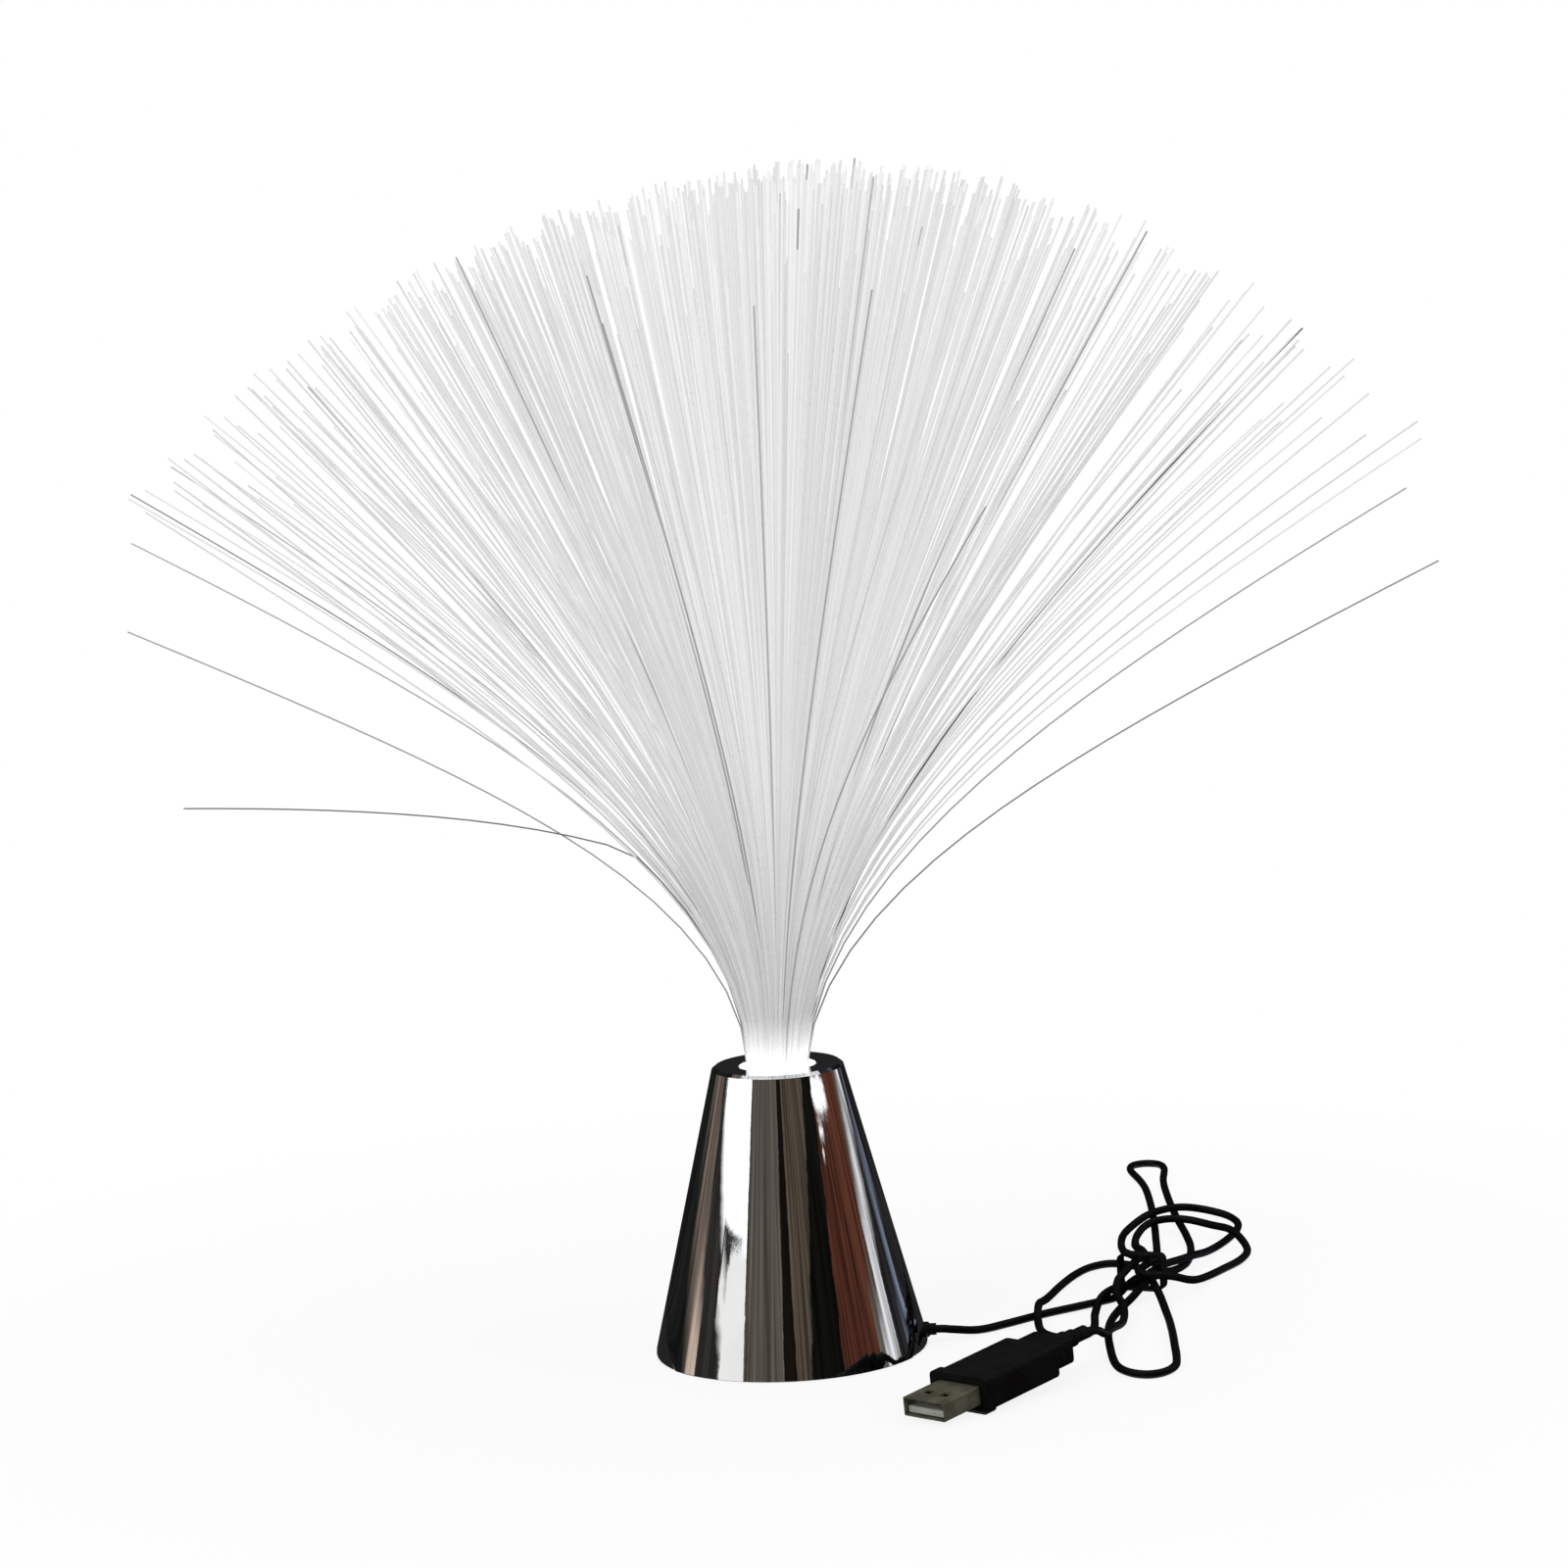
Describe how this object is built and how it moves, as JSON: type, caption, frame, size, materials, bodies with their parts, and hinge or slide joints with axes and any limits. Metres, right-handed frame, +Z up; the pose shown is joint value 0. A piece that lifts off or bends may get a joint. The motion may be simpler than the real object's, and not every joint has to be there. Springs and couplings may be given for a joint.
{
  "type": "fibre optic lamp",
  "caption": "Chromed cone base with a lit spray of plastic fibres, a slide switch underneath, and a tied cord that ends in a USB plug.",
  "frame": {"origin": "on the cone's axis, at the flat underside of the anti-slip pad that the lamp stands on", "axes": "+Z up along the cone's axis, +X towards the side where the cord leaves the base, -Y towards the plug's end"},
  "size_m": [0.3043, 0.3269, 0.2807],
  "materials": {
    "chrome": "mirror bright plating",
    "fibre": "clear drawn plastic, lit from below",
    "lit_clear": "milky clear, glowing",
    "white_plastic": "glossy white",
    "black_plastic": "fine satin",
    "moulded_black": "soft satin moulding",
    "cord_jacket": "smooth satin jacket",
    "pad_foam": "matt foam",
    "steel": "plain bright steel",
    "nickel": "nickel plated sheet",
    "contact_gold": "gold flash",
    "board": "green solder mask",
    "wire_red": "smooth insulation",
    "wire_black": "smooth insulation"
  },
  "bodies": {
    "lamp": {"base_shell": "chrome", "anti_slip_pad": "pad_foam", "bottom_cover": "black_plastic", "cover_screw_1": "steel", "cover_screw_2": "steel", "cover_screw_3": "steel", "board_screw_1": "steel", "board_screw_2": "steel", "circuit_board": "board", "controller_chip": "black_plastic", "resistor_1": "black_plastic", "resistor_2": "black_plastic", "capacitor": "steel", "led": "lit_clear", "led_spacer": "black_plastic", "led_lead_1": "steel", "led_lead_2": "steel", "reflector_cup": "white_plastic", "bundle_ferrule": "steel", "light_collar": "lit_clear", "fibre_spray": "fibre", "switch_housing": "steel", "switch_terminal_1": "steel", "switch_terminal_2": "steel", "switch_terminal_3": "steel", "wire_red": "wire_red", "wire_black": "wire_black", "cord_grommet": "moulded_black", "cord_lead": "cord_jacket", "cord_loops": "cord_jacket", "cord_tail": "cord_jacket", "cord_tie": "black_plastic", "plug_body": "moulded_black", "plug_shell": "nickel", "plug_tongue": "white_plastic", "plug_contact_1": "contact_gold", "plug_contact_2": "contact_gold", "plug_contact_3": "contact_gold", "plug_contact_4": "contact_gold"},
    "switch_slider": {"switch_knob": "black_plastic"}
  },
  "joints": [
    {"name": "switch_slide", "type": "slide", "parent": "lamp", "child": "switch_slider", "axis": [1, 0, 0], "range_m": [0, 0.0025]}
  ]
}
